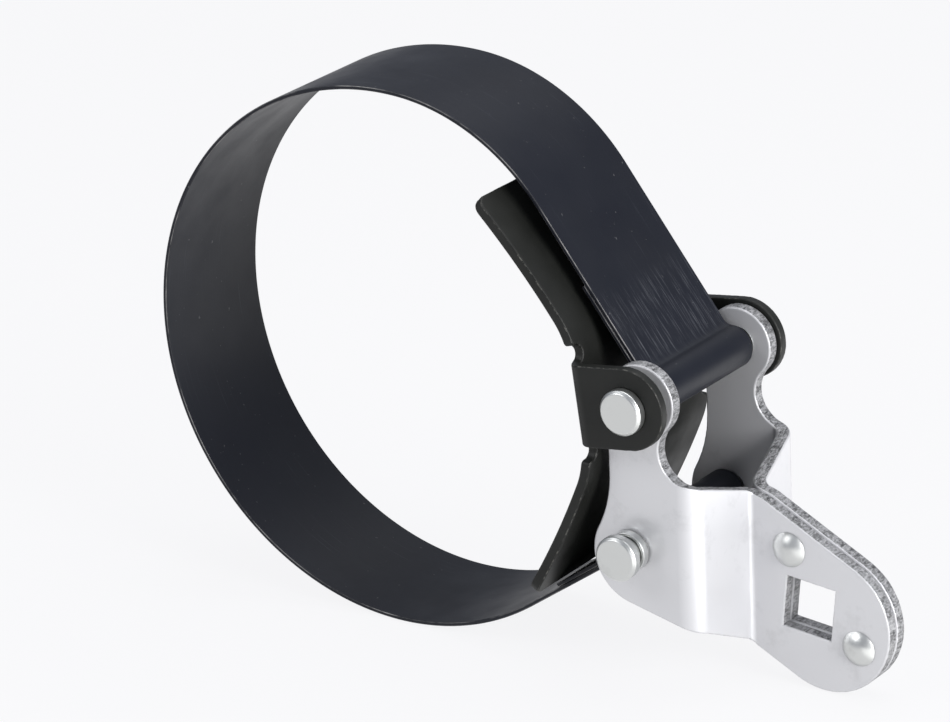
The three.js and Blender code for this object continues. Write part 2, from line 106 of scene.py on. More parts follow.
def bearing_of(start, end):
    """The bearing of one point from another, in degrees."""
    return math.degrees(math.atan2(end.y - start.y, end.x - start.x))


def spread(first, last, count):
    """Evenly spaced values, with both ends."""
    return [first + (last - first) * i / count for i in range(count + 1)]


def arc(centre, radius, first, last, step=ARC_STEP):
    """Points of an arc, from one bearing to another."""
    count = max(2, math.ceil(abs(last - first) / step))
    return [polar(centre, radius, bearing) for bearing in spread(first, last, count)]


def short_arc(centre, radius, first, last):
    """Points of an arc, the short way round."""
    turn = (last - first + 180) % 360 - 180
    return arc(centre, radius, first, first + turn)


def tangent_bearing(start, centre, radius, side, inset=0.0):
    """Bearing of the point where a line from start touches a circle. side is 1 or -1."""
    away = bearing_of(centre, start)
    return away + side * math.degrees(math.acos((radius - inset) / (centre - start).length))


def circle(centre, radius):
    return arc(centre, radius, 0, 360)[1:]


# %% [markdown]
# ## Shader helpers
#
# Every finish below is a few noises that change the colour, the roughness and the bump of one shader.
# These helpers keep the finishes short. Patterns are laid out in Object coordinates, so they stay on
# the piece when it moves.

# %% Building blocks for finishes
def start_finish(name):
    """A material with its shader, and Object coordinates to lay patterns on."""
    material = bpy.data.materials.new(name)
    material.use_nodes = True
    tree = material.node_tree
    shader = tree.nodes["Principled BSDF"]
    place = tree.nodes.new("ShaderNodeTexCoord").outputs["Object"]
    return material, tree, shader, place


def stretched(tree, place, scale):
    """Coordinates drawn out along some axes, for scratches and rolling marks."""
    mapping = tree.nodes.new("ShaderNodeMapping")
    mapping.inputs["Scale"].default_value = scale
    tree.links.new(place, mapping.inputs["Vector"])
    return mapping.outputs["Vector"]


def speckle(tree, place, scale, detail=3.0, rough=0.5):
    """Noise between 0 and 1. scale is roughly the number of blotches in a metre."""
    node = tree.nodes.new("ShaderNodeTexNoise")
    node.inputs["Scale"].default_value = scale
    node.inputs["Detail"].default_value = detail
    node.inputs["Roughness"].default_value = rough
    tree.links.new(place, node.inputs["Vector"])
    return node.outputs["Fac"]


def remap(tree, value, low, high, to_low, to_high):
    """A value stretched from one range to another, and kept inside it."""
    node = tree.nodes.new("ShaderNodeMapRange")
    for socket, number in (("From Min", low), ("From Max", high), ("To Min", to_low), ("To Max", to_high)):
        node.inputs[socket].default_value = number
    tree.links.new(value, node.inputs["Value"])
    return node.outputs["Result"]


def times(tree, first, second, operation="MULTIPLY"):
    node = tree.nodes.new("ShaderNodeMath")
    node.operation = operation
    for socket, value in zip(node.inputs, (first, second)):
        if isinstance(value, (int, float)):
            socket.default_value = value
        else:
            tree.links.new(value, socket)
    return node.outputs[0]


def blend_colours(tree, share, first, second):
    """Two colours mixed by a share. Each is a colour or another socket."""
    node = tree.nodes.new("ShaderNodeMix")
    node.data_type = "RGBA"
    tree.links.new(share, node.inputs["Factor"])
    for name, value in (("A", first), ("B", second)):
        socket = next(s for s in node.inputs if s.name == name and s.type == "RGBA")
        if isinstance(value, tuple):
            socket.default_value = (*value, 1.0)
        else:
            tree.links.new(value, socket)
    return next(s for s in node.outputs if s.type == "RGBA")


def attribute(tree, name):
    node = tree.nodes.new("ShaderNodeAttribute")
    node.attribute_name = name
    return node.outputs["Fac"]


def bump(tree, shader, height, distance, strength=1.0, under=None):
    """Relief from a height, laid over any relief given in under."""
    node = tree.nodes.new("ShaderNodeBump")
    node.inputs["Distance"].default_value = distance
    node.inputs["Strength"].default_value = strength
    tree.links.new(height, node.inputs["Height"])
    if under is not None:
        tree.links.new(under, node.inputs["Normal"])
    tree.links.new(node.outputs["Normal"], shader.inputs["Normal"])
    return node.outputs["Normal"]


# %% [markdown]
# ## Blued spring steel
#
# The band is spring steel blued in hot oil: nearly black, a little blue where light falls on it, with
# fine scratches along its length where it has slid on filters, and a patch of closer rubs on the strap
# beside the upper pin. Scratches follow the strip, so they read two values that the band's own geometry
# carries: how far along the strip a point is, and how far across. Wear shows as a thin broken line on
# the corners of the two long edges.

# %% Blued steel
SCRATCHED_FROM, SCRATCHED_TO = 0.055, 0.074  # metres along the strip, on the strap beside the upper pin
SCRATCHES_FADE = 0.008
BLUE_DEEP, BLUE_LIGHT = (0.0032, 0.0040, 0.0078), (0.0058, 0.0072, 0.0125)
SCRATCH_COLOUR = (0.10, 0.11, 0.13)
RUB_COLOUR = (0.13, 0.135, 0.15)
SPECK_COLOUR = (0.2, 0.2, 0.2)
BARE_STEEL = (0.38, 0.37, 0.36)
SCRATCH_SCALES = (30, 2600, 1)  # along, across
RUB_SCALES = (80, 3000, 1)
BLUED_SHINE = 0.25
BLUED_SATIN = (0.38, 0.48)  # least and most roughness
BLUED_GRAIN_DEPTH, SCRATCH_DEPTH = 0.00002, 0.00003  # metres


def blued_steel():
    material, tree, shader, place = start_finish("blued_steel")
    along = attribute(tree, "along")
    across = attribute(tree, "across")
    strip = tree.nodes.new("ShaderNodeCombineXYZ")
    tree.links.new(along, strip.inputs["X"])
    tree.links.new(across, strip.inputs["Y"])
    lanes = speckle(tree, stretched(tree, strip.outputs[0], SCRATCH_SCALES), 1.0, 4.0, 0.6)
    scratches = remap(tree, lanes, 0.63, 0.72, 0.0, 1.0)
    patches = remap(tree, speckle(tree, place, 45.0), 0.42, 0.62, 0.0, 1.0)
    scratched = times(tree, times(tree, scratches, patches), 0.5)
    rubs = speckle(tree, stretched(tree, strip.outputs[0], RUB_SCALES), 1.0, 4.0, 0.65)
    starts = remap(tree, along, SCRATCHED_FROM - SCRATCHES_FADE / 2, SCRATCHED_FROM, 0.0, 1.0)
    ends = remap(tree, along, SCRATCHED_TO - SCRATCHES_FADE, SCRATCHED_TO, 1.0, 0.0)
    rubbed = times(tree, remap(tree, rubs, 0.54, 0.66, 0.0, 0.45), times(tree, starts, ends))
    edge = attribute(tree, "edge")
    corner = times(tree, remap(tree, edge, 0.3, 0.6, 0.0, 1.0), remap(tree, edge, 0.8, 1.0, 1.0, 0.0))
    worn = times(tree, corner, remap(tree, speckle(tree, place, 55.0, 4.0, 0.7), 0.42, 0.62, 0.05, 0.7))
    specks = remap(tree, speckle(tree, place, 900.0, 1.0), 0.76, 0.8, 0.0, 1.0)
    cloud = remap(tree, speckle(tree, place, 16.0), 0.3, 0.7, 0.0, 1.0)
    colour = blend_colours(tree, cloud, BLUE_DEEP, BLUE_LIGHT)
    colour = blend_colours(tree, times(tree, scratched, 0.6), colour, SCRATCH_COLOUR)
    colour = blend_colours(tree, rubbed, colour, RUB_COLOUR)
    colour = blend_colours(tree, times(tree, specks, 0.25), colour, SPECK_COLOUR)
    colour = blend_colours(tree, worn, colour, BARE_STEEL)
    tree.links.new(colour, shader.inputs["Base Color"])
    tree.links.new(worn, shader.inputs["Metallic"])
    shader.inputs["Specular IOR Level"].default_value = BLUED_SHINE
    satin = remap(tree, speckle(tree, place, 90.0), 0.3, 0.7, *BLUED_SATIN)
    tree.links.new(satin, shader.inputs["Roughness"])
    grain = speckle(tree, place, 2400.0, 2.0)
    under = bump(tree, shader, grain, BLUED_GRAIN_DEPTH, 0.35)
    bump(tree, shader, lanes, SCRATCH_DEPTH, 0.3, under)
    return material


# %% [markdown]
# ## Black oxide
#
# The saddle is pressed sheet with a matt black oxide skin. It is more even than the band and slightly
# green. Its rounded rims, which the sheet marks with a value named corner, are rubbed grey in fine
# broken lines.

# %% Black oxide
OXIDE_DEEP, OXIDE_LIGHT = (0.0055, 0.006, 0.0052), (0.0105, 0.011, 0.0098)
OXIDE_WORN = (0.16, 0.155, 0.14)
OXIDE_SHINE = 0.27
OXIDE_SATIN = (0.42, 0.55)
OXIDE_GRAIN_DEPTH = 0.00004


def black_oxide():
    material, tree, shader, place = start_finish("black_oxide")
    cloud = remap(tree, speckle(tree, place, 60.0), 0.3, 0.7, 0.0, 1.0)
    colour = blend_colours(tree, cloud, OXIDE_DEEP, OXIDE_LIGHT)
    corner = remap(tree, attribute(tree, "corner"), 0.5, 1.0, 0.0, 1.0)
    broken = remap(tree, speckle(tree, place, 700.0, 4.0, 0.7), 0.5, 0.62, 0.0, 1.0)
    worn = times(tree, corner, broken)
    colour = blend_colours(tree, times(tree, worn, 0.5), colour, OXIDE_WORN)
    tree.links.new(colour, shader.inputs["Base Color"])
    shader.inputs["Specular IOR Level"].default_value = OXIDE_SHINE
    satin = remap(tree, speckle(tree, place, 130.0), 0.3, 0.7, *OXIDE_SATIN)
    tree.links.new(satin, shader.inputs["Roughness"])
    bump(tree, shader, speckle(tree, place, 1700.0, 3.0), OXIDE_GRAIN_DEPTH, 0.4)
    return material


# %% [markdown]
# ## Bright zinc
#
# Plates, pins and rivets are zinc plated. The faces are smooth with a faint orange peel and a few
# stains. The sheared edges of a plate are another surface altogether: the punch tears the metal, so
# they are rough, dark and streaked through the thickness. The plates carry a value named rim that is 1
# on those edges, and a value named corner that is 1 on their rounded rims, which stay brighter. Plating
# on a plate is cloudy, so part of its light is scattered. Pins are smoother and fully metallic.

# %% Zinc on faces and on sheared edges
PLATE_TINT, PIN_TINT = (0.61, 0.61, 0.625), (0.61, 0.62, 0.61)
STAIN_SHARE = 0.62  # of the clean colour that is left in a stain
TORN_COLOUR = (0.03, 0.03, 0.032)
TORN_ROUGHER = 0.1
PEEL_DEPTH, TORN_DEPTH = 0.00004, 0.0003
TORN_SCALES, STREAK_SCALES = (1, 0.4, 1), (1, 0.12, 1)


def zinc(name, tint, metal, satin_low, satin_high, sheared):
    material, tree, shader, place = start_finish(name)
    shader.inputs["Metallic"].default_value = metal
    stain = remap(tree, speckle(tree, place, 95.0, 6.0, 0.7), 0.56, 0.74, 0.0, 0.4)
    stained = tuple(STAIN_SHARE * part for part in tint)
    colour = blend_colours(tree, stain, tint, stained)
    satin = remap(tree, speckle(tree, place, 55.0), 0.3, 0.7, satin_low, satin_high)
    peel = speckle(tree, place, 520.0, 2.0)
    relief = bump(tree, shader, peel, PEEL_DEPTH, 0.25)
    if sheared:
        rim = remap(tree, attribute(tree, "rim"), 0.6, 0.98, 0.0, 1.0)
        corner = remap(tree, attribute(tree, "corner"), 0.3, 1.0, 1.0, 0.25)
        wall = times(tree, rim, corner)
        torn = speckle(tree, stretched(tree, place, TORN_SCALES), 2300.0, 5.0, 0.75)
        streaks = speckle(tree, stretched(tree, place, STREAK_SCALES), 900.0, 4.0, 0.7)
        pitted = remap(tree, torn, 0.36, 0.56, 0.35, 0.98)
        streaked = remap(tree, streaks, 0.35, 0.6, 0.6, 1.0)
        dark = times(tree, wall, times(tree, pitted, streaked))
        colour = blend_colours(tree, dark, colour, TORN_COLOUR)
        satin = times(tree, satin, times(tree, wall, TORN_ROUGHER), "ADD")
        bump(tree, shader, times(tree, torn, wall), TORN_DEPTH, 0.9, relief)
    tree.links.new(colour, shader.inputs["Base Color"])
    tree.links.new(satin, shader.inputs["Roughness"])
    return material


BLUED = blued_steel()
OXIDE = black_oxide()
ZINC_PLATE = zinc("zinc_plate", PLATE_TINT, metal=0.5, satin_low=0.36, satin_high=0.44, sheared=True)
ZINC_PIN = zinc("zinc_pin", PIN_TINT, metal=1.0, satin_low=0.3, satin_high=0.4, sheared=False)
print("finishes:", [m.name for m in (BLUED, OXIDE, ZINC_PLATE, ZINC_PIN)])

# %% [markdown]
# ## Geometry Nodes helpers
#
# A node tree works like a small machine with named dials. These helpers make the tree's dials and
# set them. A dial is set through its identifier, because that is the name that the modifier stores.

# %% Trees with named inputs
def start_tree(name, dials):
    """A geometry tree with an input and an output for geometry, and the named dials."""
    tree = bpy.data.node_groups.new(name, "GeometryNodeTree")
    tree.interface.new_socket("Geometry", in_out="INPUT", socket_type="NodeSocketGeometry")
    for label, kind in dials.items():
        tree.interface.new_socket(label, in_out="INPUT", socket_type=kind)
    tree.interface.new_socket("Geometry", in_out="OUTPUT", socket_type="NodeSocketGeometry")
    return tree, tree.nodes.new("NodeGroupInput").outputs, tree.nodes.new("NodeGroupOutput").inputs


def node(tree, kind, links, **settings):
    """Adds a node, sets its options, and links or sets its inputs."""
    made = tree.nodes.new(kind)
    for key, value in settings.items():
        setattr(made, key, value)
    for key, value in links.items():
        if isinstance(value, bpy.types.NodeSocket):
            tree.links.new(value, made.inputs[key])
        else:
            made.inputs[key].default_value = value
    return made


def position_parts(tree):
    """The X, Y and Z of each point, as sockets."""
    position = tree.nodes.new("GeometryNodeInputPosition").outputs[0]
    return node(tree, "ShaderNodeSeparateXYZ", {"Vector": position}).outputs


def bake(name, source, tree, values):
    """Runs a tree on an object and keeps the result as a plain mesh object."""
    modifier = source.modifiers.new(tree.name, "NODES")
    modifier.node_group = tree
    ids = {item.name: item.identifier for item in tree.interface.items_tree if item.in_out == "INPUT"}
    for label, value in values.items():
        modifier[ids[label]] = value
    bpy.context.view_layer.update()
    evaluated = source.evaluated_get(bpy.context.evaluated_depsgraph_get())
    mesh = bpy.data.meshes.new_from_object(evaluated)
    bpy.data.objects.remove(source)
    mesh.name = name
    made = bpy.data.objects.new(name, mesh)
    bpy.context.scene.collection.objects.link(made)
    return made


def volume_of(mesh):
    """Volume inside a closed mesh, in cubic millimetres. It is negative when the faces point in."""
    shape = bmesh.new()
    shape.from_mesh(mesh)
    volume = shape.calc_volume(signed=True) / MM**3
    shape.free()
    return volume


MERGE_DISTANCE = 0.002  # millimetres


def face_outwards(mesh):
    """Turns a closed mesh right side out, and merges points that coincide."""
    shape = bmesh.new()
    shape.from_mesh(mesh)
    bmesh.ops.remove_doubles(shape, verts=shape.verts, dist=MERGE_DISTANCE * MM)
    bmesh.ops.recalc_face_normals(shape, faces=shape.faces)
    if shape.calc_volume(signed=True) < 0:
        bmesh.ops.reverse_faces(shape, faces=shape.faces)
    loose = sum(1 for edge in shape.edges if len(edge.link_faces) != 2)
    shape.to_mesh(mesh)
    shape.free()
    return loose


SHARP_ANGLE = 38.0  # degrees between faces, past which an edge is drawn sharp


def finish_piece(made, body, nodes, material):
    """Shades a piece, hangs it on its body, and lets it stand for its nodes."""
    open_edges = face_outwards(made.data)
    made.data.materials.clear()
    made.data.materials.append(material)
    made.data.shade_smooth()
    made.data.set_sharp_from_angle(angle=math.radians(SHARP_ANGLE))
    shading = made.modifiers.new("even shading", "WEIGHTED_NORMAL")
    shading.keep_sharp = True
    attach(made, body)
    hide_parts(*nodes)
    count = sum(len(polygon.vertices) - 2 for polygon in made.data.polygons)
    print(f"{made.name}: {count} triangles, {volume_of(made.data):.0f} mm3, open edges {open_edges}")
    return made


# %% [markdown]
# ## The band
#
# The band is one strip. It starts on the inside of the upper strap, wraps round the upper pin, runs
# over the top and round the filter, wraps round the lower pin, and ends doubled against itself. So it
# is drawn as it is made: one line down the middle of the steel, and a thin rounded section swept along
# it. Where a strap meets its eye the steel can't crease, so a small hollow arc leads from one to the
# other.

# %% The band's line
BAND_THICKNESS = 1.0
CROWN_TIGHTENING = 12.6
CROWN_START = 86.0
CROWN_RADIUS = LOOP_RADIUS - CROWN_TIGHTENING
UPPER_EYE_INSET = 1.7
LOWER_EYE_INSET = 1.0
PIN_HOLE_RADIUS = 4.2
EYE_RADIUS = PIN_HOLE_RADIUS + BAND_THICKNESS / 2
EYE_HOLLOW = 3.2
TAIL_LENGTH = 29.3
TAIL_GAP = 0.04  # air between the strap and its doubled end
LOOP_STEP = 1.0  # degrees
EDGE_ROUNDING = 0.3

CROWN_CENTRE = polar(LOOP_CENTRE, CROWN_TIGHTENING, CROWN_START)
UPPER_STRAP = tangent_bearing(UPPER_PIN, CROWN_CENTRE, CROWN_RADIUS, 1, UPPER_EYE_INSET)
LOWER_STRAP = tangent_bearing(LOWER_PIN, LOOP_CENTRE, LOOP_RADIUS, -1, LOWER_EYE_INSET)


def rolled_end(pin, inset, strap, side):
    """The line of one end, from the tip of the doubled part, round the pin, to the strap."""
    direction = strap + 90 * side
    outwards = polar(Vector((0, 0)), 1, strap)
    strap_out = inset - BAND_THICKNESS / 2
    tail_in = 1.5 * BAND_THICKNESS + TAIL_GAP - inset

    def hollow(offset, sign):
        reach = math.sqrt((EYE_RADIUS + EYE_HOLLOW) ** 2 - (offset + EYE_HOLLOW) ** 2)
        centre = polar(pin, reach, direction) + sign * (offset + EYE_HOLLOW) * outwards
        return centre, math.degrees(math.atan2(offset + EYE_HOLLOW, reach))

    inner, inner_turn = hollow(tail_in, -1)
    outer, outer_turn = hollow(strap_out, 1)
    return [
        polar(pin, TAIL_LENGTH, direction) - tail_in * outwards,
        *short_arc(inner, EYE_HOLLOW, strap, direction + side * inner_turn + 180),
        *arc(pin, EYE_RADIUS, direction + side * inner_turn, direction + side * (360 - outer_turn))[1:-1],
        *short_arc(outer, EYE_HOLLOW, direction - side * outer_turn + 180, strap + 180),
    ]


def band_line():
    half = BAND_THICKNESS / 2
    return [
        *rolled_end(UPPER_PIN, UPPER_EYE_INSET, UPPER_STRAP, 1),
        *arc(CROWN_CENTRE, CROWN_RADIUS - half, UPPER_STRAP, CROWN_START, LOOP_STEP),
        *arc(LOOP_CENTRE, LOOP_RADIUS - half, CROWN_START, LOWER_STRAP + 360, LOOP_STEP)[1:],
        *reversed(rolled_end(LOWER_PIN, LOWER_EYE_INSET, LOWER_STRAP, -1)),
    ]


def line_object(name, points):
    """An open line through points in the plane of X and Z."""
    curve = bpy.data.curves.new(name, "CURVE")
    curve.dimensions = "3D"
    spline = curve.splines.new("POLY")
    spline.points.add(len(points) - 1)
    for target, place in zip(spline.points, points):
        target.co = (place.x * MM, 0.0, place.y * MM, 1.0)
    made = bpy.data.objects.new(name, curve)
    bpy.context.scene.collection.objects.link(made)
    return made


line = band_line()
print("length of the strip, mm:", round(sum((b - a).length for a, b in zip(line, line[1:]))))

# %% A tree that sweeps a rounded strip
def strip_tree():
    tree, dial, out = start_tree(
        "sweep a strip",
        {
            "Width": "NodeSocketFloat",
            "Thickness": "NodeSocketFloat",
            "Edge Rounding": "NodeSocketFloat",
            "Finish": "NodeSocketMaterial",
        },
    )
    section = node(
        tree, "GeometryNodeCurvePrimitiveQuadrilateral", {"Width": dial["Width"], "Height": dial["Thickness"]}
    )
    rounded = node(
        tree,
        "GeometryNodeFilletCurve",
        {"Curve": section.outputs[0], "Radius": dial["Edge Rounding"], "Count": 4},
        mode="POLY",
    )
    place = position_parts(tree)
    across = node(
        tree,
        "GeometryNodeStoreNamedAttribute",
        {"Geometry": rounded.outputs[0], "Name": "across", "Value": place["X"]},
        data_type="FLOAT",
        domain="POINT",
    )
    half = node(tree, "ShaderNodeMath", {0: dial["Width"], 1: 0.5}, operation="MULTIPLY")
    from_middle = node(tree, "ShaderNodeMath", {0: place["X"]}, operation="ABSOLUTE")
    left = node(tree, "ShaderNodeMath", {0: half.outputs[0], 1: from_middle.outputs[0]}, operation="SUBTRACT")
    nearness = node(
        tree,
        "ShaderNodeMapRange",
        {
            "Value": left.outputs[0],
            "From Min": 0.0,
            "From Max": dial["Edge Rounding"],
            "To Min": 1.0,
            "To Max": 0.0,
        },
    )
    edged = node(
        tree,
        "GeometryNodeStoreNamedAttribute",
        {"Geometry": across.outputs[0], "Name": "edge", "Value": nearness.outputs[0]},
        data_type="FLOAT",
        domain="POINT",
    )
    flat = node(
        tree,
        "GeometryNodeSetCurveNormal",
        {"Curve": dial["Geometry"], "Normal": (0.0, 1.0, 0.0)},
        mode="FREE",
    )
    length = tree.nodes.new("GeometryNodeSplineParameter")
    along = node(
        tree,
        "GeometryNodeStoreNamedAttribute",
        {"Geometry": flat.outputs[0], "Name": "along", "Value": length.outputs["Length"]},
        data_type="FLOAT",
        domain="POINT",
    )
    swept = node(
        tree,
        "GeometryNodeCurveToMesh",
        {"Curve": along.outputs[0], "Profile Curve": edged.outputs[0], "Fill Caps": True},
    )
    real = node(tree, "GeometryNodeRealizeInstances", {"Geometry": swept.outputs[0]})
    painted = node(tree, "GeometryNodeSetMaterial", {"Geometry": real.outputs[0], "Material": dial["Finish"]})
    tree.links.new(painted.outputs[0], out["Geometry"])
    return tree


# %% Make the band
BAND_WIDTH = (band_high.y - band_low.y) * MM
band = bake(
    "band_strip",
    line_object("band_line", line),
    strip_tree(),
    {
        "Width": BAND_WIDTH,
        "Thickness": BAND_THICKNESS * MM,
        "Edge Rounding": EDGE_ROUNDING * MM,
        "Finish": BLUED,
    },
)
band_piece_low, band_piece_high = (Vector(band.bound_box[i]) / MM for i in (0, 6))
print("band, mm:", [round(v, 2) for v in band_piece_low], [round(v, 2) for v in band_piece_high])
finish_piece(band, "handle", ["band"], BLUED)

# %% [markdown]
# ## Sheet metal
#
# Plates and saddle begin as flat blanks. A press shears the blank, which rounds its rims, and then
# folds it. The same order works here. A flat filled curve makes the blank with its holes and rounded
# rims. Thin cuts are made across every bend, so that it can curve smoothly. Then each point is moved
# by the rule of the fold. The sheared wall between the rims is roughened while the blank is still flat.
# Each point also keeps two values for the finishes to read: rim is 1 away from the flat faces, and
# corner is 1 only where the sheet is rounded.

# %% Shear a blank
RIM_RADIUS = 0.45
RIM_STEPS = 3
EDGE_POINT_SPACING = 0.7
TEAR_DEPTH = 0.06
TEAR_SIZE = 0.9
TEAR_FADE, TEAR_FINENESS, TEAR_LAYERS = 0.8, 2.0, 3
WALL_ROWS = (0.3, 0.43, 0.57, 0.7)  # cuts along a wall, as shares of the thickness
WALL_STARTS = 0.5 * RIM_RADIUS  # depth at which a rim becomes a wall
FACE_ENDS = 0.15 * RIM_RADIUS  # depth at which a face becomes a rim
CORNER_ENDS = 0.9 * RIM_RADIUS  # depth at which a point no longer counts as a corner
BLANK_MERGE = 0.001
CUT_TOLERANCE = 1e-5


def evenly_spaced(outline, spacing):
    """A closed outline with extra points on its long stretches."""
    points = []
    for start, end in zip(outline, outline[1:] + outline[:1]):
        count = max(1, round((end - start).length / spacing))
        points += [start.lerp(end, i / count) for i in range(count)]
    return points


def flat_blank(name, outline, holes, thickness):
    """A sheared blank in millimetres: X and Y in the sheet, Z from 0 to its thickness."""
    curve = bpy.data.curves.new(name, "CURVE")
    curve.dimensions = "2D"
    curve.fill_mode = "BOTH"
    curve.extrude = thickness / 2 - RIM_RADIUS
    curve.bevel_depth = RIM_RADIUS
    curve.bevel_resolution = RIM_STEPS
    curve.offset = -RIM_RADIUS
    for loop in [outline, *holes]:
        points = evenly_spaced(loop, EDGE_POINT_SPACING)
        spline = curve.splines.new("POLY")
        spline.points.add(len(points) - 1)
        spline.use_cyclic_u = True
        for target, place in zip(spline.points, points):
            target.co = (place.x, place.y, 0.0, 1.0)
    source = bpy.data.objects.new(name, curve)
    bpy.context.scene.collection.objects.link(source)
    bpy.context.view_layer.update()
    mesh = bpy.data.meshes.new_from_object(source.evaluated_get(bpy.context.evaluated_depsgraph_get()))
    bpy.data.objects.remove(source)
    shape = bmesh.new()
    shape.from_mesh(mesh)
    bpy.data.meshes.remove(mesh)
    bmesh.ops.remove_doubles(shape, verts=shape.verts, dist=BLANK_MERGE)
    bmesh.ops.translate(shape, verts=shape.verts, vec=(0, 0, thickness / 2))
    return shape


def slice_blank(shape, axis, places):
    """Cuts every face that a plane crosses, without parting the blank."""
    normal = Vector((0, 0, 0))
    normal[axis] = 1
    for place in places:
        everything = shape.verts[:] + shape.edges[:] + shape.faces[:]
        cut = {"dist": CUT_TOLERANCE, "plane_co": normal * place, "plane_no": normal}
        bmesh.ops.bisect_plane(shape, geom=everything, **cut)


def roughen_walls(shape, thickness):
    """Tears the sheared walls a little."""
    shape.normal_update()
    walls = [v for v in shape.verts if WALL_STARTS < v.co.z < thickness - WALL_STARTS]
    for v in walls:
        tear = noise.fractal(v.co / TEAR_SIZE, TEAR_FADE, TEAR_FINENESS, TEAR_LAYERS)
        v.co += Vector((v.normal.x, v.normal.y, 0)) * TEAR_DEPTH * tear


def folded_sheet(name, outline, holes, thickness, cuts, fold):
    """A folded sheet. cuts holds the places of the slices along X and Y, and fold moves a point."""
    shape = flat_blank(name, outline, holes, thickness)
    rows = [thickness * share for share in WALL_ROWS]
    for axis, places in enumerate([*cuts, rows]):
        slice_blank(shape, axis, places)
    roughen_walls(shape, thickness)
    depths = [v.co.z for v in shape.verts]
    for v in shape.verts:
        v.co = fold(v.co.x, v.co.y, v.co.z) * MM
    mesh = bpy.data.meshes.new(name)
    shape.to_mesh(mesh)
    shape.free()
    nearest = [min(depth, thickness - depth) for depth in depths]
    for label, ends in (("rim", thickness), ("corner", CORNER_ENDS)):
        marked = mesh.attributes.new(label, "FLOAT", "POINT")
        marked.data.foreach_set("value", [float(FACE_ENDS < depth < ends) for depth in nearest])
    made = bpy.data.objects.new(name, mesh)
    bpy.context.scene.collection.objects.link(made)
    return made


# %% [markdown]
# ## The handle plates
#
# Each plate is a flat lug beside the band, a web that turns in towards the middle, and a flat end
# where the two plates lie together. The blank is longer than the folded plate by what the bends take
# up, so every hole on the joined end is moved by that much before the fold.

# %% The fold of a handle plate
PLATE_THICKNESS = 3.4
PLATE_SIDE_PLAY = 1.3
PLATE_GAP = 0.3
BEND_TURN = math.radians(80)
FIRST_BEND_RADIUS = 3.7
SECOND_BEND_RADIUS = 2.9
LUG_RADIUS = 9.0
LUG_TO_BEND = 0.1
BEND_SLICES = 14

PLATE_INNER_Y = BAND_WIDTH / MM / 2 + PLATE_SIDE_PLAY
PLATE_OUTER_Y = PLATE_INNER_Y + PLATE_THICKNESS
BEND_RADII = FIRST_BEND_RADIUS + SECOND_BEND_RADIUS
JOGGLE = PLATE_INNER_Y - PLATE_GAP / 2
WEB_LENGTH = (JOGGLE - BEND_RADII * (1 - math.cos(BEND_TURN))) / math.sin(BEND_TURN)
BEND_START = UPPER_PIN.x + LUG_RADIUS + LUG_TO_BEND
FIRST_BEND_END = BEND_START + FIRST_BEND_RADIUS * BEND_TURN
SECOND_BEND_START = FIRST_BEND_END + WEB_LENGTH
SECOND_BEND_END = SECOND_BEND_START + SECOND_BEND_RADIUS * BEND_TURN
BEND_REACH = BEND_RADII * math.sin(BEND_TURN) + WEB_LENGTH * math.cos(BEND_TURN)
BLANK_EXCESS = SECOND_BEND_END - BEND_START - BEND_REACH


def clamp(value, low, high):
    return max(low, min(high, value))


def plate_fold(side):
    """The rule that folds a plate. side is 1 for the rear plate and -1 for the front one."""

    def fold(along, height, depth):
        offset = depth - PLATE_THICKNESS / 2
        first = clamp((along - BEND_START) / FIRST_BEND_RADIUS, 0, BEND_TURN)
        web = clamp(along - FIRST_BEND_END, 0, WEB_LENGTH)
        second = clamp((along - SECOND_BEND_START) / SECOND_BEND_RADIUS, 0, BEND_TURN)
        left = BEND_TURN - second
        x = min(along, BEND_START) + FIRST_BEND_RADIUS * math.sin(first) + web * math.cos(BEND_TURN)
        x += SECOND_BEND_RADIUS * (math.sin(BEND_TURN) - math.sin(left)) + max(0, along - SECOND_BEND_END)
        drop = FIRST_BEND_RADIUS * (1 - math.cos(first)) + web * math.sin(BEND_TURN)
        drop += SECOND_BEND_RADIUS * (math.cos(left) - math.cos(BEND_TURN))
        lean = first - second
        y = PLATE_INNER_Y + PLATE_THICKNESS / 2 - drop + offset * math.cos(lean)
        return Vector((x + offset * math.sin(lean), side * y, height))

    return fold


print("web of a plate, mm:", round(WEB_LENGTH, 2), "taken up by the bends:", round(BLANK_EXCESS, 2))

# %% The outline of a handle plate
THROAT_RADIUS = 8.1
THROAT_BEARING = -42.0
TOP_EDGE_SLOPE = -18.1
UPPER_KNEE_PAST_BEND = 2.5
BELLY_DROP = 17.2
HEEL_RADIUS = 12.3
HEEL_SHIFT = Vector((1.6, -1.9))
WAIST_RADIUS = 30.0
TIP_RADIUS = 17.0
LOWER_KNEE_DROP = 9.5
DRIVE_SQUARE = 12.85
DRIVE_SHIFT = Vector((-4.4, 3.0))
DRIVE_TURN = -6.3
RIVET_HOLE_RADIUS = 2.55

tip_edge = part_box("front_handle_plate")[1].x / MM
TIP = Vector((tip_edge - TIP_RADIUS, TIP_RADIUS))
NECK_RIVET = centre_of("upper_drive_rivet")
TIP_RIVET = centre_of("lower_drive_rivet")


def on_blank(place):
    """A place on the joined end, moved to where it lies on the flat blank."""
    return Vector((place.x + BLANK_EXCESS, place.y))


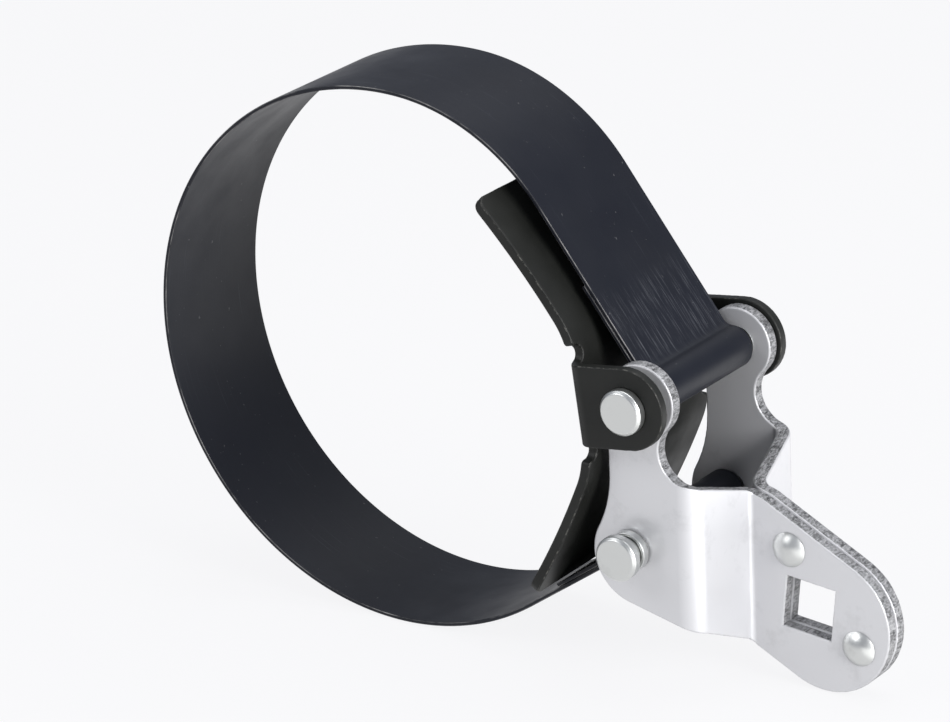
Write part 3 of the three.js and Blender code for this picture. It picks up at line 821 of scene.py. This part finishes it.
def plate_outline():
    throat = polar(UPPER_PIN, LUG_RADIUS + THROAT_RADIUS, THROAT_BEARING)
    throat_end = polar(throat, THROAT_RADIUS, TOP_EDGE_SLOPE - 90)
    knee_x = SECOND_BEND_END + UPPER_KNEE_PAST_BEND
    slope = math.tan(math.radians(TOP_EDGE_SLOPE))
    upper_knee = Vector((knee_x, throat_end.y + (knee_x - throat_end.x) * slope))
    lower_knee = Vector((SECOND_BEND_END, TIP.y - LOWER_KNEE_DROP))
    belly = Vector((BEND_START, LOWER_PIN.y - BELLY_DROP))
    tip = on_blank(TIP)
    heel = LOWER_PIN + HEEL_SHIFT
    waist_x = UPPER_PIN.x - LUG_RADIUS - WAIST_RADIUS
    waist_rise = math.sqrt((WAIST_RADIUS + HEEL_RADIUS) ** 2 - (heel.x - waist_x) ** 2)
    waist = Vector((waist_x, heel.y + waist_rise))
    waist_end = bearing_of(waist, heel)
    tip_from = tangent_bearing(upper_knee, tip, TIP_RADIUS, -1)
    tip_to = tangent_bearing(lower_knee, tip, TIP_RADIUS, 1)
    heel_from = tangent_bearing(belly, heel, HEEL_RADIUS, -1)
    return [
        *arc(UPPER_PIN, LUG_RADIUS, 180, THROAT_BEARING),
        *arc(throat, THROAT_RADIUS, THROAT_BEARING + 180, TOP_EDGE_SLOPE + 270)[1:],
        upper_knee,
        *arc(tip, TIP_RADIUS, tip_from, tip_to),
        lower_knee,
        belly,
        *arc(heel, HEEL_RADIUS, heel_from, waist_end - 180),
        *arc(waist, WAIST_RADIUS, waist_end, 0)[1:],
    ]


def plate_holes():
    half_diagonal = DRIVE_SQUARE / math.sqrt(2)
    square = [polar(on_blank(TIP + DRIVE_SHIFT), half_diagonal, DRIVE_TURN + 45 + 90 * i) for i in range(4)]
    pins = [circle(pin, PIN_HOLE_RADIUS) for pin in (UPPER_PIN, LOWER_PIN)]
    rivets = [circle(on_blank(rivet), RIVET_HOLE_RADIUS) for rivet in (NECK_RIVET, TIP_RIVET)]
    return [square, *pins, *rivets]


print("points round a plate:", len(plate_outline()), "holes:", len(plate_holes()))

# %% Make both handle plates
bends = [
    *spread(BEND_START, FIRST_BEND_END, BEND_SLICES),
    *spread(SECOND_BEND_START, SECOND_BEND_END, BEND_SLICES),
]
for name, side in (("front_handle_plate", -1), ("rear_handle_plate", 1)):
    plate = folded_sheet(
        f"{name}_sheet", plate_outline(), plate_holes(), PLATE_THICKNESS, (bends, []), plate_fold(side)
    )
    finish_piece(plate, "handle", [name], ZINC_PLATE)

# %% [markdown]
# ## The saddle
#
# The saddle is one pressing too. Its two wings curve away from the flat middle to follow the filter,
# and an ear at each side is folded back to hang on the upper pin. The wings bend about lines along Y
# and the ears about lines along Z, but never in the same place, so one rule can do both. The ear's part
# of the rule reaches to the middle of each notch, so that the whole edge of an ear follows the ear.

# %% The fold of the saddle
SADDLE_THICKNESS = 2.5
SADDLE_SETBACK = 15.1
SHOULDER_RADIUS = 20.0
SHOULDER_TURN = math.radians(29.5)
WING_LENGTH = 33.0
WING_TURN = math.radians(8.967)
SADDLE_TILT = math.radians(7)
SADDLE_CORNER_RADIUS = 3.0
EAR_RADIUS = 9.9
EAR_SIDE_GAP = 1.9
EAR_BEND_RADIUS = 1.5
NOTCH_WIDTH = 3.8
NOTCH_DEPTH = 3.2
NOTCH_CORNER = 1.1
NOTCH_STEP, LIP_STEP, CORNER_STEP = 9.0, 15.0, 6.0  # degrees
SADDLE_SLICES = 12
WING_OVERHANG = 1.0

EAR_INNER_Y = PLATE_OUTER_Y + EAR_SIDE_GAP
SADDLE_HALF_WIDTH = EAR_INNER_Y + WING_OVERHANG
WEB_HALF_WIDTH = EAR_INNER_Y - EAR_BEND_RADIUS
EAR_BEND_MIDDLE = EAR_BEND_RADIUS + SADDLE_THICKNESS / 2
EAR_BEND_LENGTH = EAR_BEND_MIDDLE * math.pi / 2
EAR_BEND_X = -SADDLE_SETBACK + SADDLE_THICKNESS + EAR_BEND_RADIUS
EAR_HOLE = WEB_HALF_WIDTH + EAR_BEND_LENGTH - EAR_BEND_X
SHOULDER_LENGTH = SHOULDER_RADIUS * SHOULDER_TURN
WING_RADIUS = WING_LENGTH / WING_TURN
saddle_low, saddle_high = (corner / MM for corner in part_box("saddle"))
SADDLE_MIDDLE_Y = (saddle_low.y + saddle_high.y) / 2
SADDLE_PLACE = Vector((UPPER_PIN.x, SADDLE_MIDDLE_Y, UPPER_PIN.y))


def saddle_fold(across, height, depth):
    """The rule that folds the saddle. depth is measured behind the face that bears on the filter."""
    beyond = max(0, abs(height) - EAR_RADIUS)
    if abs(across) > WEB_HALF_WIDTH and abs(height) < EAR_RADIUS + NOTCH_WIDTH / 2:
        turn = min((abs(across) - WEB_HALF_WIDTH) / EAR_BEND_MIDDLE, math.pi / 2)
        rest = max(0, abs(across) - WEB_HALF_WIDTH - EAR_BEND_LENGTH)
        radius = EAR_BEND_RADIUS + SADDLE_THICKNESS - depth
        x = EAR_BEND_X - radius * math.cos(turn) + rest
        y = WEB_HALF_WIDTH + radius * math.sin(turn)
        place = Vector((x, math.copysign(y, across), height))
    else:
        turn = min(beyond / SHOULDER_RADIUS, SHOULDER_TURN)
        x = -SADDLE_SETBACK - SHOULDER_RADIUS + (SHOULDER_RADIUS + depth) * math.cos(turn)
        z = min(abs(height), EAR_RADIUS) + (SHOULDER_RADIUS + depth) * math.sin(turn)
        if beyond > SHOULDER_LENGTH:
            more = SHOULDER_TURN + (beyond - SHOULDER_LENGTH) / WING_RADIUS
            radius = WING_RADIUS + depth
            x += radius * (math.cos(more) - math.cos(SHOULDER_TURN))
            z += radius * (math.sin(more) - math.sin(SHOULDER_TURN))
        place = Vector((x, across, math.copysign(z, height)))
    return Matrix.Rotation(-SADDLE_TILT, 3, "Y") @ place + SADDLE_PLACE


# %% The outline of the saddle
def saddle_quarter():
    """One quarter of the blank, from the tip of an ear to the end of a wing."""
    top = EAR_RADIUS + SHOULDER_LENGTH + WING_LENGTH
    radius = NOTCH_WIDTH / 2
    notch = Vector((SADDLE_HALF_WIDTH - NOTCH_DEPTH + radius, EAR_RADIUS + radius))
    lip = Vector((SADDLE_HALF_WIDTH - NOTCH_CORNER, EAR_RADIUS + NOTCH_WIDTH + NOTCH_CORNER))
    corner = Vector((SADDLE_HALF_WIDTH - SADDLE_CORNER_RADIUS, top - SADDLE_CORNER_RADIUS))
    return [
        *arc(Vector((EAR_HOLE, 0)), EAR_RADIUS, 0, 90),
        *arc(notch, radius, -90, -270, NOTCH_STEP),
        *arc(lip, NOTCH_CORNER, -90, 0, LIP_STEP),
        *arc(corner, SADDLE_CORNER_RADIUS, 0, 90, CORNER_STEP),
    ]


def saddle_outline():
    quarter = saddle_quarter()
    right = [Vector((p.x, -p.y)) for p in reversed(quarter)] + quarter[1:]
    left = [Vector((-p.x, p.y)) for p in reversed(right)]
    return right + left


# %% Make the saddle
def both_ways(values):
    return [-v for v in values] + values


shoulder_top = EAR_RADIUS + SHOULDER_LENGTH
rising = spread(EAR_RADIUS, shoulder_top, SADDLE_SLICES)
rising += spread(shoulder_top, shoulder_top + WING_LENGTH, SADDLE_SLICES)[1:-1]
sideways = spread(WEB_HALF_WIDTH, WEB_HALF_WIDTH + EAR_BEND_LENGTH, SADDLE_SLICES)
saddle = folded_sheet(
    "saddle_pressing",
    saddle_outline(),
    [circle(Vector((side * EAR_HOLE, 0)), PIN_HOLE_RADIUS) for side in (-1, 1)],
    SADDLE_THICKNESS,
    (both_ways(sideways), both_ways(rising)),
    saddle_fold,
)
finish_piece(saddle, "saddle", ["saddle"], OXIDE)

# %% [markdown]
# ## Pins and washers
#
# Pins and washers are turned on a lathe, so they are made the same way: a profile of radius and place
# along the axis, spun about it. A small bevel then breaks every corner.

# %% Turn a piece
TURNED_SIDES = 96
BROKEN_CORNER = 0.16
BROKEN_STEPS = 3
BROKEN_FROM = 25.0  # degrees between faces


def turned(name, centre, profile):
    """Spins a profile of (radius, place along Y), in millimetres, about an axis along Y."""
    shape = bmesh.new()
    rings = []
    for radius, y in profile:
        count = TURNED_SIDES if radius > 0 else 1
        ring = [polar(centre, radius, 360 * i / TURNED_SIDES) for i in range(count)]
        rings.append([shape.verts.new((p.x * MM, y * MM, p.y * MM)) for p in ring])
    for first, second in zip(rings, rings[1:]):
        for i in range(TURNED_SIDES):
            j = (i + 1) % TURNED_SIDES
            corners = [first[i % len(first)], first[j % len(first)]]
            corners += [second[j % len(second)], second[i % len(second)]]
            shape.faces.new(list(dict.fromkeys(corners)))
    mesh = bpy.data.meshes.new(name)
    shape.to_mesh(mesh)
    shape.free()
    made = bpy.data.objects.new(name, mesh)
    bpy.context.scene.collection.objects.link(made)
    broken = made.modifiers.new("broken corners", "BEVEL")
    broken.width = BROKEN_CORNER * MM
    broken.segments = BROKEN_STEPS
    broken.limit_method = "ANGLE"
    broken.angle_limit = math.radians(BROKEN_FROM)
    return made


# %% Make the pins
PIN_RADIUS = 4.0
PIN_HEAD_HEIGHT = 2.6
PIN_HEAD_CHAMFER = 0.7


def pin_profile(end, head_radius):
    half = [
        (PIN_RADIUS, end - PIN_HEAD_HEIGHT),
        (head_radius, end - PIN_HEAD_HEIGHT),
        (head_radius, end - PIN_HEAD_CHAMFER),
        (head_radius - PIN_HEAD_CHAMFER, end),
        (0.0, end),
    ]
    return [(radius, -y) for radius, y in reversed(half)] + half


for name, centre in (("upper_pin", UPPER_PIN), ("lower_pin", LOWER_PIN)):
    low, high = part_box(name)
    head_radius = (high.x - low.x) / MM / 2
    pin = turned(f"{name}_turned", centre, pin_profile(reach_of(name), head_radius))
    finish_piece(pin, name, [name], ZINC_PIN)

# %% Make the washers
for name, body in (("front_spacer_washer", "front_washer"), ("rear_spacer_washer", "rear_washer")):
    low, high = (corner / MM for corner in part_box(name))
    outer = (high.x - low.x) / 2
    inner = PIN_HOLE_RADIUS
    ring = [(inner, low.y), (outer, low.y), (outer, high.y), (inner, high.y), (inner, low.y)]
    washer = turned(f"{name}_turned", LOWER_PIN, ring)
    finish_piece(washer, body, [name], ZINC_PIN)

# %% [markdown]
# ## The rivets
#
# Two rivets hold the joined ends together. They are alike, so one tree makes both: it starts from a
# plain cylinder, moves each ring of it onto the outline of a rivet with two domed heads, and puts a
# copy at each point that it is given. Change a dial and both rivets change.

# %% A tree that makes rivets
RIVET_RINGS = 40
SHANK_SHARE = 0.15  # share of the rings, from the middle out, that make the shank
DOME_SHARE = 0.8
RIVET_SIDES = 64
WELD_DISTANCE = 1e-6


def rivet_tree():
    tree, dial, out = start_tree(
        "rivets",
        {
            "Head Radius": "NodeSocketFloat",
            "Head Height": "NodeSocketFloat",
            "Shank Radius": "NodeSocketFloat",
            "Half Grip": "NodeSocketFloat",
            "Finish": "NodeSocketMaterial",
        },
    )

    def calc(operation, first, second=0.0):
        return node(tree, "ShaderNodeMath", {0: first, 1: second}, operation=operation).outputs[0]

    rod = node(
        tree,
        "GeometryNodeMeshCylinder",
        {"Vertices": RIVET_SIDES, "Side Segments": RIVET_RINGS, "Radius": 1.0, "Depth": 2.0},
        fill_type="NGON",
    )
    place = position_parts(tree)
    share = calc("ABSOLUTE", place["Z"])
    height = dial["Head Height"]
    wide = calc("MULTIPLY", dial["Head Radius"], dial["Head Radius"])
    squares = calc("ADD", wide, calc("MULTIPLY", height, height))
    dome = calc("DIVIDE", squares, calc("MULTIPLY", height, 2.0))
    widest = calc("ARCSINE", calc("DIVIDE", dial["Head Radius"], dome))
    angle = calc("MULTIPLY", calc("DIVIDE", calc("SUBTRACT", 1.0, share), DOME_SHARE), widest)
    dome_radius = calc("MULTIPLY", dome, calc("SINE", angle))
    dome_centre = calc("SUBTRACT", calc("ADD", dial["Half Grip"], height), dome)
    dome_place = calc("ADD", dome_centre, calc("MULTIPLY", dome, calc("COSINE", angle)))
    shank_place = calc("MULTIPLY", calc("DIVIDE", share, SHANK_SHARE), dial["Half Grip"])
    in_dome = calc("GREATER_THAN", share, (SHANK_SHARE + 1 - DOME_SHARE) / 2)
    radius = node(tree, "ShaderNodeMix", {0: in_dome, 2: dial["Shank Radius"], 3: dome_radius})
    away = node(tree, "ShaderNodeMix", {0: in_dome, 2: shank_place, 3: dome_place})
    along = calc("MULTIPLY", away.outputs[0], calc("SIGN", place["Z"]))
    turned_round = calc("MULTIPLY", calc("MULTIPLY", place["Y"], radius.outputs[0]), -1.0)
    spot = node(
        tree,
        "ShaderNodeCombineXYZ",
        {"X": calc("MULTIPLY", place["X"], radius.outputs[0]), "Y": along, "Z": turned_round},
    )
    moved = node(
        tree, "GeometryNodeSetPosition", {"Geometry": rod.outputs["Mesh"], "Position": spot.outputs[0]}
    )
    welded = node(
        tree, "GeometryNodeMergeByDistance", {"Geometry": moved.outputs[0], "Distance": WELD_DISTANCE}
    )
    copies = node(
        tree, "GeometryNodeInstanceOnPoints", {"Points": dial["Geometry"], "Instance": welded.outputs[0]}
    )
    real = node(tree, "GeometryNodeRealizeInstances", {"Geometry": copies.outputs[0]})
    painted = node(tree, "GeometryNodeSetMaterial", {"Geometry": real.outputs[0], "Material": dial["Finish"]})
    tree.links.new(painted.outputs[0], out["Geometry"])
    return tree


# %% Make the rivets
RIVET_SHANK_RADIUS = 2.4
RIVET_HEAD_HEIGHT = 1.9
rivet_low, rivet_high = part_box("upper_drive_rivet")
spots = bpy.data.meshes.new("rivet_places")
spots.from_pydata([(place.x * MM, 0.0, place.y * MM) for place in (NECK_RIVET, TIP_RIVET)], [], [])
spots_object = bpy.data.objects.new("rivet_places", spots)
bpy.context.scene.collection.objects.link(spots_object)
rivets = bake(
    "drive_rivets",
    spots_object,
    rivet_tree(),
    {
        "Head Radius": (rivet_high.x - rivet_low.x) / 2,
        "Head Height": RIVET_HEAD_HEIGHT * MM,
        "Shank Radius": RIVET_SHANK_RADIUS * MM,
        "Half Grip": rivet_high.y - RIVET_HEAD_HEIGHT * MM,
        "Finish": ZINC_PIN,
    },
)
finish_piece(rivets, "handle", ["upper_drive_rivet", "lower_drive_rivet"], ZINC_PIN)

# %% [markdown]
# ## The studio
#
# The wrench stands on a plain pale floor, in the even light of large soft lamps. Nearly all the light
# of the floor is its own, as on a lit table, so shadows stay faint. Bright metal shows whatever is round
# it. A card that only mirrors can see lies to the right, and the side lamp brightens the webs.

# %% Floor and surroundings
FLOOR_SIZE = 6.0
FLOOR_DROP = 0.0003
FLOOR_COLOUR, FLOOR_LIGHT, FLOOR_GLOW = (0.05, 0.05, 0.05), (0.985, 0.985, 1.0), 0.9
FLOOR_ROUGHNESS = 0.9
ROOM_LIGHT, ROOM_GLOW = (0.86, 0.9, 1.0), 0.42


def lit_surface(name, colour, light, glow):
    """A plain surface that gives off light, and its shader."""
    material = bpy.data.materials.new(name)
    material.use_nodes = True
    shader = material.node_tree.nodes["Principled BSDF"]
    shader.inputs["Base Color"].default_value = (*colour, 1.0)
    shader.inputs["Emission Color"].default_value = (*light, 1.0)
    shader.inputs["Emission Strength"].default_value = glow
    return material, shader


floor_material, floor_shader = lit_surface("pale_floor", FLOOR_COLOUR, FLOOR_LIGHT, FLOOR_GLOW)
floor_shader.inputs["Roughness"].default_value = FLOOR_ROUGHNESS
floor_shader.inputs["Specular IOR Level"].default_value = 0.0

bpy.ops.mesh.primitive_plane_add(size=FLOOR_SIZE, location=(0, 0, -FLOOR_DROP))
floor = bpy.context.object
floor.name = "studio_floor"
floor.data.materials.append(floor_material)

scene = bpy.context.scene
scene.view_settings.view_transform = "Standard"
world = bpy.data.worlds.new("studio")
scene.world = world
world.use_nodes = True
surround = world.node_tree.nodes["Background"]
surround.inputs["Color"].default_value = (*ROOM_LIGHT, 1.0)
surround.inputs["Strength"].default_value = ROOM_GLOW
print("floor:", FLOOR_SIZE, "m wide")

# %% A bright card for the metal to mirror
CARD_COLOUR, CARD_LIGHT, CARD_GLOW = (0.0, 0.0, 0.0), (1.0, 1.0, 1.0), 1.55
CARD_LEFT, CARD_RIGHT = 0.1, 0.55
CARD_NEAR, CARD_FAR = -0.5, 0.4

card_mesh = bpy.data.meshes.new("bright_card")
near_corners = [(CARD_LEFT, CARD_NEAR, 0), (CARD_RIGHT, CARD_NEAR, 0)]
far_corners = [(CARD_RIGHT, CARD_FAR, 0), (CARD_LEFT, CARD_FAR, 0)]
card_mesh.from_pydata(near_corners + far_corners, [], [(0, 1, 2, 3)])
card = bpy.data.objects.new("bright_card", card_mesh)
scene.collection.objects.link(card)
card_mesh.materials.append(lit_surface("bright_card", CARD_COLOUR, CARD_LIGHT, CARD_GLOW)[0])
card.visible_camera = False
card.visible_diffuse = False
card.visible_shadow = False
card.visible_transmission = False
print("card, m:", round(CARD_RIGHT - CARD_LEFT, 2), "by", round(CARD_FAR - CARD_NEAR, 2))

# %% Lamps
def soft_lamp(name, place, aim, size, power):
    light = bpy.data.lights.new(name, "AREA")
    light.shape = "RECTANGLE"
    light.size, light.size_y = size
    light.energy = power
    made = bpy.data.objects.new(name, light)
    bpy.context.scene.collection.objects.link(made)
    made.location = place
    made.rotation_mode = "QUATERNION"
    made.rotation_quaternion = (Vector(aim) - Vector(place)).to_track_quat("-Z", "Y")
    return made


MIDDLE = (frame_box[0] + frame_box[1]) / 2
LAMPS = {  # place in metres, width and height in metres, power in watts
    "key_lamp": ((-0.55, -0.75, 0.75), (0.7, 0.5), 4.5),
    "top_lamp": ((0.1, 0.25, 1.0), (0.9, 0.7), 6.0),
    "side_lamp": ((0.9, -0.2, 0.35), (0.4, 0.6), 11.0),
}
for name, (place, size, power) in LAMPS.items():
    soft_lamp(name, place, MIDDLE, size, power)
    print(f"{name}: {power} W")

# %% [markdown]
# ## The camera
#
# A long lens from well back keeps the loop nearly round and the pins nearly parallel, as a catalogue
# picture does. The camera leans over by about two and a half degrees, so its up direction is given
# with its view.

# %% Set the camera
CAMERA_PLACE = Vector((0.6145511, -0.8979062, 0.4787386))
CAMERA_FORWARD = Vector((-0.538574, 0.764706, -0.353784)).normalized()
CAMERA_UP = Vector((0.0498957, 0.0, 0.9987544))
CAMERA_LENS = 185.95
SENSOR_WIDTH = 36.0

right = CAMERA_FORWARD.cross(CAMERA_UP).normalized()
up = right.cross(CAMERA_FORWARD)
camera = bpy.data.objects.new("camera", bpy.data.cameras.new("camera"))
scene.collection.objects.link(camera)
turn = Matrix((right, up, -CAMERA_FORWARD)).transposed().to_4x4()
camera.matrix_world = Matrix.Translation(CAMERA_PLACE) @ turn
camera.data.sensor_fit = "HORIZONTAL"
camera.data.sensor_width = SENSOR_WIDTH
camera.data.lens = CAMERA_LENS
scene.camera = camera
print("camera, mm:", [round(v / MM) for v in CAMERA_PLACE], "lens", CAMERA_LENS)

# %% [markdown]
# ## The frame's box
#
# The new pieces must fill the same space as the mechanical model, so the box of the mechanical model is
# written down.

# %% Print the frame's box
print("frame, mm:", [[round(v / MM, 2) for v in corner] for corner in frame_box])
